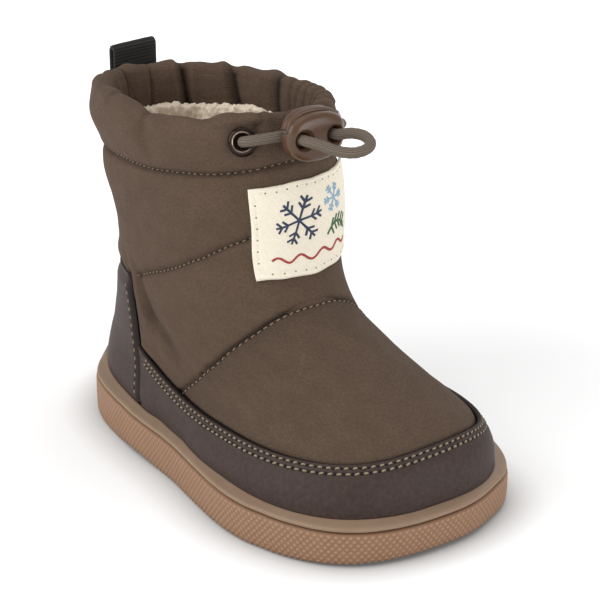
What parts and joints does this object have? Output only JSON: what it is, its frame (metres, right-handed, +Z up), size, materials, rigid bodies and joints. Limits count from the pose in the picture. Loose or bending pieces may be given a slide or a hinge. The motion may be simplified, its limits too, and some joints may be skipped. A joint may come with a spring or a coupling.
{
  "type": "winter boot",
  "caption": "Padded winter boot for a small child, right foot: hollow quilted upper with gathered collar, drawcord and cord lock, toe and heel guards, and a cupped rubber sole.",
  "frame": {"origin": "on the floor under the middle of the boot's length and width", "axes": "+Z up, toe towards -Y and heel towards +Y, the boot's outer (right) side towards -X"},
  "size_m": [0.0836, 0.165, 0.112],
  "materials": {
    "gum_rubber": "matte, finely textured",
    "smooth_rubber": "smooth satin",
    "footbed_felt": "felted",
    "padded_nylon": "matte woven",
    "synthetic_leather": "smooth satin",
    "webbing": "ribbed weave",
    "gunmetal": "dark bright metal",
    "braided_cord": "braided",
    "brown_plastic": "satin moulded"
  },
  "bodies": {
    "boot": {"outsole": "gum_rubber", "midsole": "smooth_rubber", "insole": "footbed_felt", "upper": "padded_nylon", "mudguard": "synthetic_leather", "heel_counter": "synthetic_leather", "pull_loop": "webbing", "eyelet_right": "gunmetal", "eyelet_left": "gunmetal", "drawcord_bar_right": "braided_cord", "drawcord_bar_left": "braided_cord", "drawcord_loop": "braided_cord", "cord_lock_body": "brown_plastic"},
    "lock_button": {"cord_lock_button": "brown_plastic"}
  },
  "joints": [
    {"name": "lock_button_press", "type": "slide", "parent": "boot", "child": "lock_button", "axis": [0, 0, -1], "range_m": [0, 0.001], "stiffness_N_per_m": 400}
  ]
}
